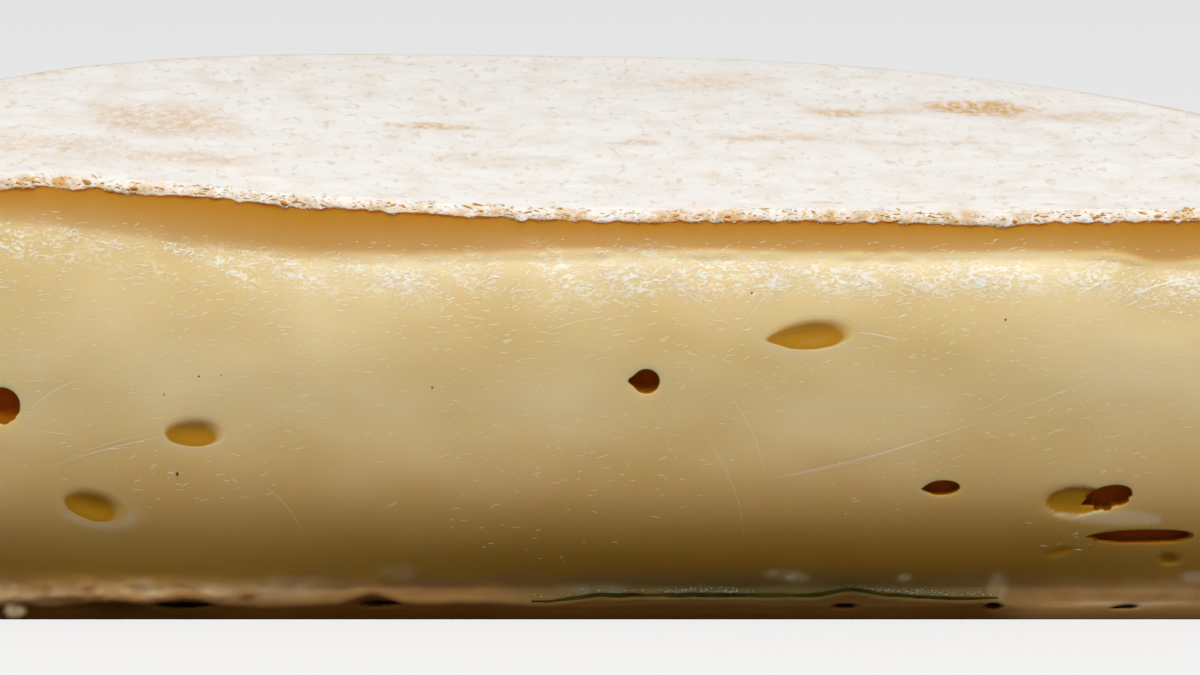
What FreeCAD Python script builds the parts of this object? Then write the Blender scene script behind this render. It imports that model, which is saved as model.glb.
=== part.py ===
import FreeCAD, Part
import math
import os

import Sketcher

# Half a reblochon: a soft washed-rind cheese wheel cut along its diameter and laid on its flat side.
# The ripe paste has swollen out of the cut, so it stands back under the top rind, steps forward at a
# ledge, bellies out and tucks in again above a thin toe of rind. A round casein plaque, set in the
# underside when the curd was moulded, was cut through with the cheese.
# Millimetres. X runs along the cut, Y runs from the cut to the back, Z is up, and the origin is the
# middle of the footprint on the table.

SIZES = [
    # name, size, what it is
    ("wheel_diameter", 144.0, "whole wheel across its belly"),
    ("thickness", 34.55, "table to top rind at the axis, before it sank"),
    ("belly_height", 15.0, "height of the widest ring"),
    ("side_radius", 80.0, "arc of the side, seen in section"),
    ("heel_round", 6.0, "rounding of the lower edge"),
    ("rim_round", 4.0, "rounding of the upper edge"),
    ("swell_rise", 2.5, "how much the left side has swollen"),
    ("swell_start", 0.0, "left of the axis, where the top begins to rise"),
    ("swell_width", 52.0, "from there to where it has risen, at the cut"),
    ("swell_fan", 0.1, "how much wider the rise is for each unit behind the cut"),
    ("dish_depth", 0.4, "how far the top has sunk in the middle"),
    ("right_fall", 0.006, "how far the top falls for each unit to the right"),
    ("back_fall", 0.012, "how far the top falls for each unit behind the cut"),
    ("recess_depth", 0.5, "paste standing back behind the cut under the rind"),
    ("ledge_drop", 3.5, "top rind down to the ledge"),
    ("shoulder_height", 6.5, "ledge down to where the face is plumb"),
    ("bulge_reach", 3.4, "paste standing in front of the cut at its belly"),
    ("undercut_height", 3.9, "table up to the deepest line of the tuck"),
    ("tuck_height", 12.0, "tuck up to where the face is plumb"),
    ("end_taper", 11.0, "length over which the swelling fades at each end"),
    ("toe_height", 2.4, "table up to the crest of the toe"),
    ("toe_reach", 0.4, "toe standing in front of the cut"),
    ("toe_spread", 0.9, "half height of the toe"),
    ("plaque_diameter", 38.0, "casein plaque"),
    ("plaque_thickness", 0.6, "casein plaque"),
    ("plaque_height", 1.4, "table up to the underside of the plaque"),
    ("plaque_offset", 13.4, "plaque's middle, right of the wheel's axis"),
]

# The eyes that the knife opened: name, place along the cut, height, half width, half height, depth,
# and the angle its long axis makes with the table, in degrees.
EYES = [
    ("far_left", -47.8, 18.9, 1.45, 1.45, 2.4, 0.0),
    ("dimple_high", -32.4, 16.8, 2.4, 1.15, 0.8, 0.0),
    ("dimple_low", -40.7, 10.4, 2.25, 1.1, 1.0, -17.0),
    ("pinhole", 3.7, 21.0, 1.1, 0.95, 2.6, 0.0),
    ("almond", 16.9, 24.8, 3.4, 1.2, 2.2, 5.0),
    ("slot", 27.4, 12.1, 1.4, 0.6, 1.8, 3.0),
    ("double_shallow", 38.2, 10.9, 2.3, 1.1, 0.9, 3.0),
    ("double_deep", 40.5, 11.2, 1.7, 0.95, 2.6, 14.0),
    ("crack", 44.2, 7.5, 4.0, 0.65, 2.2, 1.0),
    ("nick", 37.2, 6.1, 1.2, 0.4, 0.6, 10.0),
    ("speck", 46.1, 5.4, 0.75, 0.55, 0.8, -8.0),
    ("outer_right", 57.5, 18.5, 1.7, 0.9, 1.6, -8.0),
    ("outer_left", -58.0, 12.0, 1.3, 0.8, 1.5, 10.0),
]
EYE_SIZES = ("along", "high", "half_width", "half_height", "depth", "tilt")

NET_STEP = 11.0  # between the control points of the two free surfaces where they are smooth
NET_MARGIN = 9.0  # how far both surfaces reach past the wheel
BELLY_ROWS = 5  # rows of control points between the tuck and the shoulder
TOOL_DEPTH = 400.0  # longer than any wheel, for the blocks that trim it
TESSELLATION = 0.05  # for measuring the finished shape


def make_sheet(doc):
    """The spreadsheet of driving dimensions. Returns its values by name."""
    sheet = doc.addObject("Spreadsheet::Sheet", "Sizes")
    rows = list(SIZES)
    for name, *values in EYES:
        for size, value in zip(EYE_SIZES, values):
            rows.append((f"eye_{name}_{size}", value, "eye in the cut"))
    for row, (name, value, note) in enumerate(rows, start=1):
        sheet.set(f"A{row}", name)
        sheet.set(f"B{row}", str(value))
        sheet.set(f"C{row}", note)
        sheet.setAlias(f"B{row}", name)
    doc.recompute()
    return {name: float(sheet.get(name)) for name, _, _ in rows}


def ease(share):
    """0 below 0, 1 above 1, and a smooth rise between them."""
    share = min(1.0, max(0.0, share))
    return share * share * (3.0 - 2.0 * share)


def quarter_arc(share):
    """The rise of a quarter circle: steep at 0 and level at 1."""
    share = min(1.0, max(0.0, share))
    return math.sqrt(1.0 - (1.0 - share) ** 2)


def top_height(size, x, y):
    """Height of the top rind above the table, with y measured from the wheel's axis."""
    width = size["swell_width"] + size["swell_fan"] * max(y, 0.0)
    swell = ease((-x - size["swell_start"]) / width)
    radius = size["wheel_diameter"] / 2.0
    sunk = size["dish_depth"] * (1.0 - min(1.0, (x * x + y * y) / radius**2))
    fall = size["right_fall"] * x + size["back_fall"] * y
    return size["thickness"] + size["swell_rise"] * swell - sunk - fall


def side_radius_at(size, z, top):
    """Radius of the wheel at height z, with both rounded edges, where the top is at this height."""
    radius = size["wheel_diameter"] / 2.0
    arc = size["side_radius"]
    lift = min(z - size["belly_height"], arc)
    inset = arc - math.sqrt(arc * arc - lift * lift)
    for round_radius, gap in ((size["heel_round"], z), (size["rim_round"], top - z)):
        if gap < round_radius:
            bite = min(round_radius, round_radius - gap)
            inset += round_radius - math.sqrt(round_radius**2 - bite**2)
    return radius - inset


def cut_reach(size, x, z):
    """How far the paste stands in front of the cut plane at this place."""
    top = top_height(size, x, 0.0)
    below_ledge = top - size["ledge_drop"] - z
    shoulder = quarter_arc(below_ledge / size["shoulder_height"])
    tuck = ease((z - size["undercut_height"]) / size["tuck_height"]) ** 0.6
    inside = side_radius_at(size, min(max(z, 0.0), top), top) - abs(x)
    end = quarter_arc((inside - size["recess_depth"]) / size["end_taper"])
    swelling = (size["recess_depth"] + size["bulge_reach"]) * shoulder * tuck * end
    band = ease(inside / size["end_taper"])
    toe = size["toe_reach"] + size["recess_depth"]
    toe *= math.exp(-(((z - size["toe_height"]) / size["toe_spread"]) ** 2))
    return band * (toe - size["recess_depth"]) + swelling


def steps(start, stop, count):
    """Evenly spaced numbers from start to stop, both included."""
    return [start + (stop - start) * i / count for i in range(count + 1)]


def net_face(rows):
    """A smooth face that follows a net of control points, as a cubic B-spline."""
    degree = 3

    def knots(count):
        spans = count - degree
        ends = [degree + 1]
        return ends + [1] * (spans - 1) + ends, [float(i) for i in range(spans + 1)]

    along_counts, along = knots(len(rows))
    across_counts, across = knots(len(rows[0]))
    surface = Part.BSplineSurface()
    surface.buildFromPolesMultsKnots(
        rows, along_counts, across_counts, along, across, False, False, degree, degree
    )
    return surface.toShape()


def make_top_face(doc, size):
    """The uneven top of the wheel, as a free surface."""
    reach = size["wheel_diameter"] / 2.0 + NET_MARGIN
    lines = steps(-reach, reach, round(2.0 * reach / NET_STEP))
    rows = [[FreeCAD.Vector(x, y, top_height(size, x, y)) for y in lines] for x in lines]
    face = doc.addObject("Part::Feature", "top_surface")
    face.Shape = net_face(rows)
    return face


def cut_heights(size, top):
    """Heights of the control points up the cut, close together at the toe and at the ledge."""
    ledge = top - size["ledge_drop"]
    tuck = size["undercut_height"]
    below = [-NET_MARGIN, -NET_MARGIN / 3.0]
    toe = [size["toe_height"] + share * size["toe_spread"] for share in (-2.4, -1.0, 0.0, 1.0)]
    belly = steps(tuck + 1.0, ledge - size["ledge_drop"], BELLY_ROWS)
    shoulder = [ledge + rise for rise in (-1.8, -0.7, -0.1, 0.5, 1.4)]
    above = [top - 0.6, top + NET_MARGIN / 3.0, top + NET_MARGIN]
    return below + toe + belly + shoulder + above


def make_cut_face(doc, size):
    """The swollen face that the knife left, as a free surface."""
    radius = size["wheel_diameter"] / 2.0
    inner = radius - size["end_taper"] - size["rim_round"]
    middle = steps(-inner, inner, round(2.0 * inner / NET_STEP))
    right = steps(inner, radius + NET_MARGIN / 3.0, 5)[1:] + [radius + NET_MARGIN]
    lines = [-x for x in reversed(right)] + middle + right
    rows = []
    for x in lines:
        heights = cut_heights(size, top_height(size, x, 0.0))
        rows.append([FreeCAD.Vector(x, -cut_reach(size, x, z), z) for z in heights])
    face = doc.addObject("Part::Feature", "cut_surface")
    face.Shape = net_face(rows)
    return face


def make_block(doc, face, name, direction):
    """The space on one side of a free surface."""
    block = doc.addObject("Part::Extrusion", name)
    block.Base = face
    block.DirMode = "Custom"
    block.Dir = direction
    block.LengthFwd = TOOL_DEPTH
    block.Solid = True
    return block


def make_wheel(doc):
    """The whole wheel before its top is trimmed: the side's section turned about the axis."""
    body = doc.addObject("PartDesign::Body", "wheel")
    sketch = body.newObject("Sketcher::SketchObject", "wheel_section")
    plane = next(o for o in body.Origin.OriginFeatures if o.Role == "XZ_Plane")
    sketch.AttachmentSupport = (plane, [""])
    sketch.MapMode = "FlatFace"
    point = FreeCAD.Vector
    up = point(0, 0, 1)
    base = sketch.addGeometry(Part.LineSegment(point(0, 0), point(62, 0)))
    heel_circle = Part.Circle(point(62, 6.5), up, 6.5)
    heel = sketch.addGeometry(Part.ArcOfCircle(heel_circle, -math.pi / 2, -0.2))
    side_circle = Part.Circle(point(18, 14), up, 52)
    side = sketch.addGeometry(Part.ArcOfCircle(side_circle, -0.2, 0.7))
    lid = sketch.addGeometry(Part.LineSegment(point(58, 47), point(0, 47)))
    axis = sketch.addGeometry(Part.LineSegment(point(0, 47), point(0, 0)))
    rule = Sketcher.Constraint
    sketch.addConstraint(
        [
            rule("Coincident", base, 1, -1, 1),
            rule("Horizontal", base),
            rule("Tangent", base, 2, heel, 1),
            rule("Tangent", heel, 2, side, 1),
            rule("Coincident", side, 2, lid, 1),
            rule("Horizontal", lid),
            rule("Coincident", lid, 2, axis, 1),
            rule("Vertical", axis),
            rule("Coincident", axis, 2, base, 1),
        ]
    )
    sized = [
        ("heel", rule("Radius", heel, 6.5), "Sizes.heel_round"),
        ("side", rule("Radius", side, 52.0), "Sizes.side_radius"),
        ("belly", rule("DistanceY", -1, 1, side, 3, 14.0), "Sizes.belly_height"),
        (
            "reach",
            rule("DistanceX", -1, 1, side, 3, 18.0),
            "Sizes.wheel_diameter / 2 - Sizes.side_radius",
        ),
        (
            "height",
            rule("DistanceY", -1, 1, lid, 1, 47.0),
            "Sizes.thickness + Sizes.swell_rise + Sizes.rim_round",
        ),
    ]
    for name, constraint, expression in sized:
        index = sketch.addConstraint(constraint)
        sketch.renameConstraint(index, name)
        sketch.setExpression(f"Constraints.{name}", expression)
    doc.recompute()
    turned = body.newObject("PartDesign::Revolution", "wheel_turned")
    turned.Profile = sketch
    turned.ReferenceAxis = (sketch, ["V_Axis"])
    turned.Angle = 360.0
    return body


def combine(doc, kind, name, base, tool):
    """A boolean of two objects."""
    result = doc.addObject(kind, name)
    result.Base = base
    result.Tool = tool
    return result


def round_rim(doc, wheel):
    """The wheel with its upper edge rounded."""
    doc.recompute()
    rims = [
        (edge.BoundBox.ZMin, number)
        for number, edge in enumerate(wheel.Shape.Edges, start=1)
        if edge.BoundBox.XLength > wheel.Shape.BoundBox.XLength / 2.0
    ]
    rounded = doc.addObject("Part::Fillet", "rounded_wheel")
    rounded.Base = wheel
    radius = float(doc.Sizes.get("rim_round"))
    rounded.Edges = [(max(rims)[1], radius, radius)]
    return rounded


def make_eye(doc, size, name):
    """One hole in the cut: an egg-shaped bubble set in the face."""
    eye = doc.addObject("Part::Ellipsoid", f"eye_{name}")
    eye.setExpression("Radius1", f"Sizes.eye_{name}_half_height")
    eye.setExpression("Radius2", f"Sizes.eye_{name}_half_width")
    eye.setExpression("Radius3", f"Sizes.eye_{name}_depth")
    x = size[f"eye_{name}_along"]
    z = size[f"eye_{name}_high"]
    turn = FreeCAD.Rotation(FreeCAD.Vector(0, 1, 0), -size[f"eye_{name}_tilt"])
    place = FreeCAD.Vector(x, -cut_reach(size, x, z), z)
    eye.Placement = FreeCAD.Placement(place, turn)
    return eye


def make_plaque_disc(doc):
    """The casein plaque before the knife went through it."""
    disc = doc.addObject("Part::Cylinder", "plaque_disc")
    disc.setExpression("Radius", "Sizes.plaque_diameter / 2")
    disc.setExpression("Height", "Sizes.plaque_thickness")
    disc.setExpression("Placement.Base.x", "Sizes.plaque_offset")
    disc.setExpression("Placement.Base.z", "Sizes.plaque_height")
    return disc


def check(doc, parts):
    """Stops if an object failed to recompute or a piece isn't a sound solid."""
    doc.recompute()
    failed = [o.Name for o in doc.Objects if {"Invalid", "Error"} & set(o.State)]
    if failed:
        raise RuntimeError(f"failed to recompute: {failed}")
    for part in parts:
        shape = part.Shape
        if shape.isNull() or not shape.isValid() or len(shape.Solids) != 1:
            raise RuntimeError(f"{part.Label} is not one sound solid")


def footprint_middle(shape):
    """The middle of a shape's box, on the table."""
    points, _ = shape.tessellate(TESSELLATION)
    middle_x = (min(p.x for p in points) + max(p.x for p in points)) / 2.0
    middle_y = (min(p.y for p in points) + max(p.y for p in points)) / 2.0
    return FreeCAD.Vector(middle_x, middle_y, min(p.z for p in points))


def main():
    doc = FreeCAD.newDocument("reblochon")
    size = make_sheet(doc)
    down = FreeCAD.Vector(0, 0, -1)
    back = FreeCAD.Vector(0, 1, 0)
    under_top = make_block(doc, make_top_face(doc, size), "under_top", down)
    behind_cut = make_block(doc, make_cut_face(doc, size), "behind_cut", back)
    disc = make_plaque_disc(doc)

    wheel = combine(doc, "Part::Common", "trimmed_wheel", make_wheel(doc), under_top)
    half = combine(doc, "Part::Common", "half_wheel", round_rim(doc, wheel), behind_cut)
    slotted = combine(doc, "Part::Cut", "slotted_half", half, disc)
    eyes = doc.addObject("Part::MultiFuse", "eyes")
    eyes.Shapes = [make_eye(doc, size, name) for name, *_ in EYES]
    cheese = combine(doc, "Part::Cut", "cheese_half", slotted, eyes)
    plaque = combine(doc, "Part::Common", "casein_plaque", disc, behind_cut)
    check(doc, (cheese, plaque))

    os.makedirs("parts", exist_ok=True)
    to_origin = FreeCAD.Placement(-footprint_middle(cheese.Shape), FreeCAD.Rotation())
    for part in (cheese, plaque):
        part.Placement = to_origin
        part.Shape.exportStep(f"parts/{part.Label}.step")


main()
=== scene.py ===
"""Looks of a ripe half reblochon: bloomed rind, swollen glossy paste, eyes and the cut casein plaque.

Lengths are millimetres in the wheel's own frame until place() turns them into the row's metres:
x runs along the cut, y runs from the cut plane into the cheese, z is up, and the wheel's axis
stands at x = 0, y = 0.
"""

import math

import bmesh
import bpy
import numpy as np
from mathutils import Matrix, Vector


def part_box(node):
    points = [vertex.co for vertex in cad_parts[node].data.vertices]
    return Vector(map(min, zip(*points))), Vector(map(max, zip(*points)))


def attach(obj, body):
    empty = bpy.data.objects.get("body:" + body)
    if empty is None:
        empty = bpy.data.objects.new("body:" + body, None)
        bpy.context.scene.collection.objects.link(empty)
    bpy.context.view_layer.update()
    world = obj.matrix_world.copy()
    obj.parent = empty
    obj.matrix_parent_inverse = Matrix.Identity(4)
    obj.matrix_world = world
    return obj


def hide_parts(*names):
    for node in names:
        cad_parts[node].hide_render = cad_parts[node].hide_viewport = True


MM = 0.001
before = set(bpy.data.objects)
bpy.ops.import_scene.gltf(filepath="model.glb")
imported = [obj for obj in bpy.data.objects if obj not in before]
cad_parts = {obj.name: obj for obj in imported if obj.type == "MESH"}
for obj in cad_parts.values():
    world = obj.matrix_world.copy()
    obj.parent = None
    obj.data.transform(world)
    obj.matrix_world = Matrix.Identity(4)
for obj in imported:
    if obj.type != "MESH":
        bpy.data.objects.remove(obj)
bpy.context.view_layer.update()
CHEESE_LOW, CHEESE_HIGH = (np.array(corner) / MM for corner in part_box("cheese_half"))
PLAQUE_LOW, PLAQUE_HIGH = (np.array(corner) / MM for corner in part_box("casein_plaque"))

# The wheel, from the frame
RADIUS = (CHEESE_HIGH[0] - CHEESE_LOW[0]) / 2.0
CUT_Y = CHEESE_HIGH[1] - RADIUS
BULGE_REACH = CUT_Y - CHEESE_LOW[1]
TOP = CHEESE_HIGH[2]
PEAK_OVER_AXIS = 2.827  # the swollen left side over the unswollen top at the axis
THICKNESS = TOP - PEAK_OVER_AXIS  # at the axis, before the top swelled on the left and sank
PLAQUE_RADIUS = (PLAQUE_HIGH[0] - PLAQUE_LOW[0]) / 2.0
PLAQUE_X = (PLAQUE_HIGH[0] + PLAQUE_LOW[0]) / 2.0

# The wheel's section
SWELL_RISE = 2.5  # how much the left side has swollen
SWELL_START = 0.0  # left of the axis, where the top begins to rise
SWELL_WIDTH = 52.0  # from there to where it has risen, at the cut
SWELL_FAN = 0.1  # how much wider the rise is for each unit behind the cut
DISH_DEPTH = 0.4  # how far the top has sunk in the middle
RIGHT_FALL = 0.006  # for each unit to the right
BACK_FALL = 0.012  # for each unit behind the cut
BELLY_HEIGHT = 15.0
SIDE_RADIUS = 80.0
HEEL_ROUND = 6.0
RIM_ROUND = 4.0

# The cut
RIND_THICK = 0.85
RECESS = 0.08  # paste standing back under the rind's edge
LEDGE_DROP = 3.45  # top rind down to the ledge
BULGE_HEIGHT = 17.5  # where the paste stands out furthest
TUCK_HEIGHT = 2.6
END_TAPER = 11.0
UNDERCUT = 0.4  # paste standing back behind the cut at the tuck
TOE_HEIGHT = 2.2
TOE_REACH = 0.3
TOE_SPREAD = 0.95
FOOT_REACH = 0.55  # lower rind squeezed out under the paste
PLUMB_COLUMNS = 50.0  # half width inside which the mesh's columns stand upright

# The sheet of rows and columns that the cheese is built from
COLUMNS = 600
EDGE_ROWS = 10  # up the torn edge of the top rind
TOP_ROWS = 120
BASE_ROWS = 16

# An eye is let in by rings: out to the grid, round its lip and down to its floor
OUTER_RINGS = 9
LIP_RINGS = 4
INNER_RINGS = 14
# How strongly shade is painted on the lip of a deep eye, and on the paste just inside it
LIP_PAINTED_SHADE = 0.75  # how hidden the lip of a deep eye is
THROAT_PAINTED_SHADE = 0.72  # and the paste just inside it

# How often a place is drawn for what lies scattered on the cut, before most are dropped
FLECK_TRIES = 5200
FLAKE_TRIES = 6500
BLOOM_TRIES = 2600

# Stage
CAMERA_AWAY = 400.0  # from the cut's plane
CAMERA_HEIGHT = 126.0
CAMERA_DOWN = 14.35  # degrees below level
CAMERA_LENS = 154.3
LAMP_AWAY = 0.62  # metres
LAMPS = (("softbox", 58.0, (0.42, 0.3), 3.3), ("fill", 12.0, (0.7, 0.3), 0.12))  # elevation, size, watts
FLOOR_REACH = 3.0  # metres


# ---------------------------------------------------------------- numbers and relief


def ease(share):
    """0 below 0, 1 above 1, and a smooth rise between them."""
    share = np.clip(share, 0.0, 1.0)
    return share * share * (3.0 - 2.0 * share)


def quarter_arc(share):
    """The rise of a quarter circle: steep at 0 and level at 1."""
    share = np.clip(share, 0.0, 1.0)
    return np.sqrt(1.0 - (1.0 - share) ** 2)


def hump(x, middle, half_width):
    """1 at the middle, easing to 0 at the half width."""
    return ease(1.0 - np.abs(x - middle) / half_width)


def lattice(ix, iy, seed):
    """A repeatable random number between -1 and 1 for each whole-number place."""
    mixed = (ix * 374761393 + iy * 668265263 + seed * 2246822519) & 0xFFFFFFFF
    mixed = ((mixed ^ (mixed >> 13)) * 1274126177) & 0xFFFFFFFF
    return ((mixed ^ (mixed >> 16)) & 0xFFFF) / 32767.5 - 1.0


def noise(x, y, grain, seed):
    """Smooth random relief between -1 and 1, with features about a grain across."""
    x, y = np.broadcast_arrays(np.asarray(x, float) / grain, np.asarray(y, float) / grain)
    ix = np.floor(x).astype(np.int64)
    iy = np.floor(y).astype(np.int64)
    fx = ease(x - ix)
    fy = ease(y - iy)
    low = lattice(ix, iy, seed) * (1 - fx) + lattice(ix + 1, iy, seed) * fx
    high = lattice(ix, iy + 1, seed) * (1 - fx) + lattice(ix + 1, iy + 1, seed) * fx
    return low * (1 - fy) + high * fy


def rough(x, y, grain, seed, layers=3):
    """Noise with finer and weaker noise on top of it."""
    total = 0.0
    for layer in range(layers):
        total = total + noise(x, y, grain / 2**layer, seed + layer) / 2**layer
    return total


# ---------------------------------------------------------------- the wheel's shape


def top_height(x, y):
    """Height of the top rind, smooth."""
    width = SWELL_WIDTH + SWELL_FAN * np.maximum(y, 0.0)
    swell = ease((-x - SWELL_START) / width)
    sunk = DISH_DEPTH * (1.0 - np.minimum(1.0, (x * x + y * y) / RADIUS**2))
    return THICKNESS + SWELL_RISE * swell - sunk - RIGHT_FALL * x - BACK_FALL * y


def side_radius(z, top):
    """Radius of the wheel at height z."""
    lift = z - BELLY_HEIGHT
    inset = SIDE_RADIUS - np.sqrt(SIDE_RADIUS**2 - lift**2)
    for round_radius, gap in ((HEEL_ROUND, z), (RIM_ROUND, top - z)):
        bite = np.clip(round_radius - gap, 0.0, round_radius)
        inset = inset + round_radius - np.sqrt(round_radius**2 - bite**2)
    return RADIUS - inset


def softness(x):
    """1 on the left, where the shoulder has slumped, and 0 on the right, where it is crisp."""
    return ease((-x - 12.0) / 26.0) * 0.85 + 0.15 * ease((14.0 - x) / 20.0)


def lip_line(x):
    """Height of the lower edge of the top rind, torn and uneven."""
    torn = 0.13 * noise(x, 0.0, 2.1, 11) + 0.12 * noise(x, 0.0, 0.7, 12) + 0.06 * noise(x, 0.0, 0.3, 13)
    thicker = 0.45 * hump(x, -49.0, 5.0) + 0.2 * hump(x, -24.0, 6.0) + 0.25 * hump(x, 30.0, 9.0)
    return top_height(x, 0.0) - RIND_THICK - thicker - torn


def ledge_line(x):
    """Height of the shoulder, where the face turns from ledge to belly."""
    wander = 0.16 * noise(x, 0.0, 9.0, 21) + 0.05 * noise(x, 0.0, 2.0, 22)
    slump = 1.4 * hump(x, -25.0, 27.0) + 0.75 * ease((x - 40.0) / 5.0)
    return top_height(x, 0.0) - LEDGE_DROP - slump + wander


def rind_line(x):
    """Height of the wavy top of the lower rind's brown edge."""
    wave = 0.12 * noise(x, 0.0, 5.0, 31) + 0.05 * noise(x, 0.0, 1.3, 32)
    peaks = 0.75 * hump(x, -33.6, 3.2) + 0.75 * hump(x, -18.6, 3.0) + 0.3 * hump(x, -40.0, 5.0)
    return 1.5 + wave + peaks - 0.2 * hump(x, -26.0, 5.0) - 0.5 * ease((x - 30.0) / 5.0)


# Soft hollows in the cut: x, z, half width, half height, depth, tilt in degrees, edge softness
DIMPLES = (
    (38.3, 10.8, 2.4, 1.2, 0.3, 3.0, 0.15),
    (37.2, 6.15, 1.15, 0.3, 0.12, 12.0, 0.35),
    (46.1, 5.4, 0.75, 0.5, 0.25, -12.0, 0.25),
)
HOLLOW_SHADE_STRENGTHS = (0.6, 0.45, 0.65)  # how strong the painted shade and amber glow are inside each

# Slits where the lower rind has come away from the paste, measured as the hollows are
SLITS = (
    (-33.9, 1.25, 2.2, 0.26, 0.35, 0.0, 0.2),
    (-18.0, 1.3, 1.6, 0.24, 0.35, 0.0, 0.2),
    (19.9, 1.05, 1.0, 0.2, 0.3, 0.0, 0.2),
    (32.0, 1.05, 0.8, 0.26, 0.3, 0.0, 0.3),
    (42.7, 0.95, 1.1, 0.13, 0.3, 2.0, 0.3),
    (-52.0, 1.2, 1.2, 0.2, 0.3, 0.0, 0.2),
)


def oval_share(x, z, oval):
    """Distance from an oval's middle, as a share of its half sizes."""
    middle_x, middle_z, half_width, half_height, _, tilt = oval[:6]
    turn = math.radians(tilt)
    along = (x - middle_x) * math.cos(turn) + (z - middle_z) * math.sin(turn)
    across = (z - middle_z) * math.cos(turn) - (x - middle_x) * math.sin(turn)
    return np.hypot(along / half_width, across / half_height)


def dimple_depth(x, z):
    """How far the soft hollows and the slits sink."""
    depth = 0.0
    for dimple in DIMPLES + SLITS:
        share = oval_share(x, z, dimple)
        soft = dimple[-1]
        bowl = ease((1.0 + soft - share) / (2.0 * soft)) * (1.0 - 0.35 * np.minimum(share, 1.0) ** 2)
        depth = depth + dimple[4] * bowl
    return depth


def dimple_painted_shade(x, z):
    """How strong the painted shade and amber glow are inside the soft hollows."""
    hidden = 0.0
    for dimple, strength in zip(DIMPLES, HOLLOW_SHADE_STRENGTHS):
        soft = dimple[-1]
        hidden = hidden + strength * ease((1.0 + 0.6 * soft - oval_share(x, z, dimple)) / (1.2 * soft))
    return hidden


def slit_painted_shadow(x, z):
    """1 inside the slits over the lower rind, where their shadow is painted nearly black."""
    dark = 0.0
    for slit in SLITS:
        dark = dark + ease((1.15 - oval_share(x, z, slit)) / 0.4)
    return dark


def front_y(x, z):
    """Depth of the cut face at each place: negative stands towards the knife's side."""
    top = top_height(x, 0.0)
    lip = lip_line(x)
    ledge = ledge_line(x)
    soft = softness(x)
    inside = side_radius(np.clip(z, 0.0, top), top) - np.abs(x)
    end = quarter_arc((inside - RECESS) / END_TAPER)
    band = ease(inside / 3.0)

    shelf = np.clip((lip - z) / (lip - ledge), 0.0, 1.0)
    above = np.clip((ledge - z) / (ledge - BULGE_HEIGHT), 0.0, 1.0)
    under = np.clip((BULGE_HEIGHT - z) / (BULGE_HEIGHT - TUCK_HEIGHT), 0.0, 1.0)
    share_at_ledge = 0.1 + 0.04 * soft
    shoulder = share_at_ledge * shelf
    shoulder = shoulder + (1.0 - share_at_ledge) * (1.0 - (1.0 - above) ** (3.0 - 0.4 * soft))
    swelling = ((RECESS + BULGE_REACH) * shoulder - (RECESS + BULGE_REACH + UNDERCUT) * under**2.3) * end

    toe_size = 0.3 + 0.15 * noise(x, 0.0, 4.0, 41) + 2.0 * hump(x, -42.0, 30.0) + 0.7 * hump(x, 46.0, 14.0)
    toe_middle = TOE_HEIGHT + 0.25 * noise(x, 0.0, 6.0, 42) + 0.15 * noise(x, 0.0, 1.7, 44)
    toe = (TOE_REACH + RECESS) * toe_size * np.exp(-(((z - toe_middle) / TOE_SPREAD) ** 2))
    lumpy = 0.05 + 0.13 * hump(x, -42.0, 34.0)
    lumps = lumpy * rough(x, z * 1.4, 1.1, 43) * np.exp(-(((z - TOE_HEIGHT) / 1.3) ** 2))
    foot = FOOT_REACH * ease((rind_line(x) + 1.0 - z) / 2.2)
    welt = 0.16 * (1.0 - soft) * (1.0 + 0.7 * noise(x, 0.0, 1.7, 45)) * np.exp(-(((z - ledge) / 0.28) ** 2))
    reach = band * (toe + lumps + foot + welt - RECESS) + swelling

    inner = band * ease((z - 4.0) / 3.0) * ease((ledge - z) / 2.0)
    reach = reach + 0.07 * inner * noise(x + 0.6 * z, z, 11.0, 51)
    reach = reach + 0.02 * inner * noise(x * 0.5 + z * 0.15, z, 2.2, 52)
    reach = reach - dimple_depth(x, z) * ease((inside - 3.0) / 3.0)

    on_lip = ease((z - lip + 0.1) / 0.12)
    rise = np.clip((z - lip) / (top - lip), 0.0, 1.0)
    rolled = 0.6 * rise**1.3
    torn = 0.07 * rough(x, z, 0.9, 61) + 0.05 * noise(x, z, 0.28, 64)
    return -(reach * (1.0 - on_lip) + (0.05 + torn * (1.0 - 0.5 * rise) - rolled) * band * on_lip)


def top_relief(x, y):
    """Fine ups and downs of the bloomed rind, strongest where the knife tore its edge."""
    edge = ease(1.0 - y / 1.6)
    calm = 0.1 * rough(x, y, 6.0, 71) + 0.035 * rough(x * 0.7, y, 1.4, 74)
    return calm + 0.1 * edge * rough(x, y, 0.8, 77)


# ---------------------------------------------------------------- mesh building


def columns():
    """Share of the half width at each column, closer together towards both ends."""
    return -np.cos(np.linspace(0.0, math.pi, COLUMNS + 1))


def column_x(share, radius):
    """Place of a column where the wheel has this radius: upright in the middle, fanned at the ends."""
    outward = np.abs(share) * RADIUS
    squeeze = (radius - PLUMB_COLUMNS) / (RADIUS - PLUMB_COLUMNS)
    fanned = PLUMB_COLUMNS + (outward - PLUMB_COLUMNS) * squeeze
    return np.sign(share) * np.where(outward <= PLUMB_COLUMNS, outward, fanned)


def face_heights(x):
    """Heights of the rows up the cut at each column, gathered where the face turns."""
    top = top_height(x, 0.0)
    ledge = ledge_line(x)
    lip = lip_line(x)
    stops = [0.0 * x, rind_line(x), 3.4 + 0.0 * x, 4.3 + 0.0 * x, 8.0 + 0.0 * x]
    stops += [ledge - 3.4, ledge + 0.3, lip - 0.12, lip, top]
    counts = (12, 9, 4, 14, 60, 19, 12, 3, EDGE_ROWS)
    rows = [stops[0]]
    for low, high, count in zip(stops, stops[1:], counts):
        rows += [low + (high - low) * step / count for step in range(1, count + 1)]
    return np.array(rows)


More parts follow.
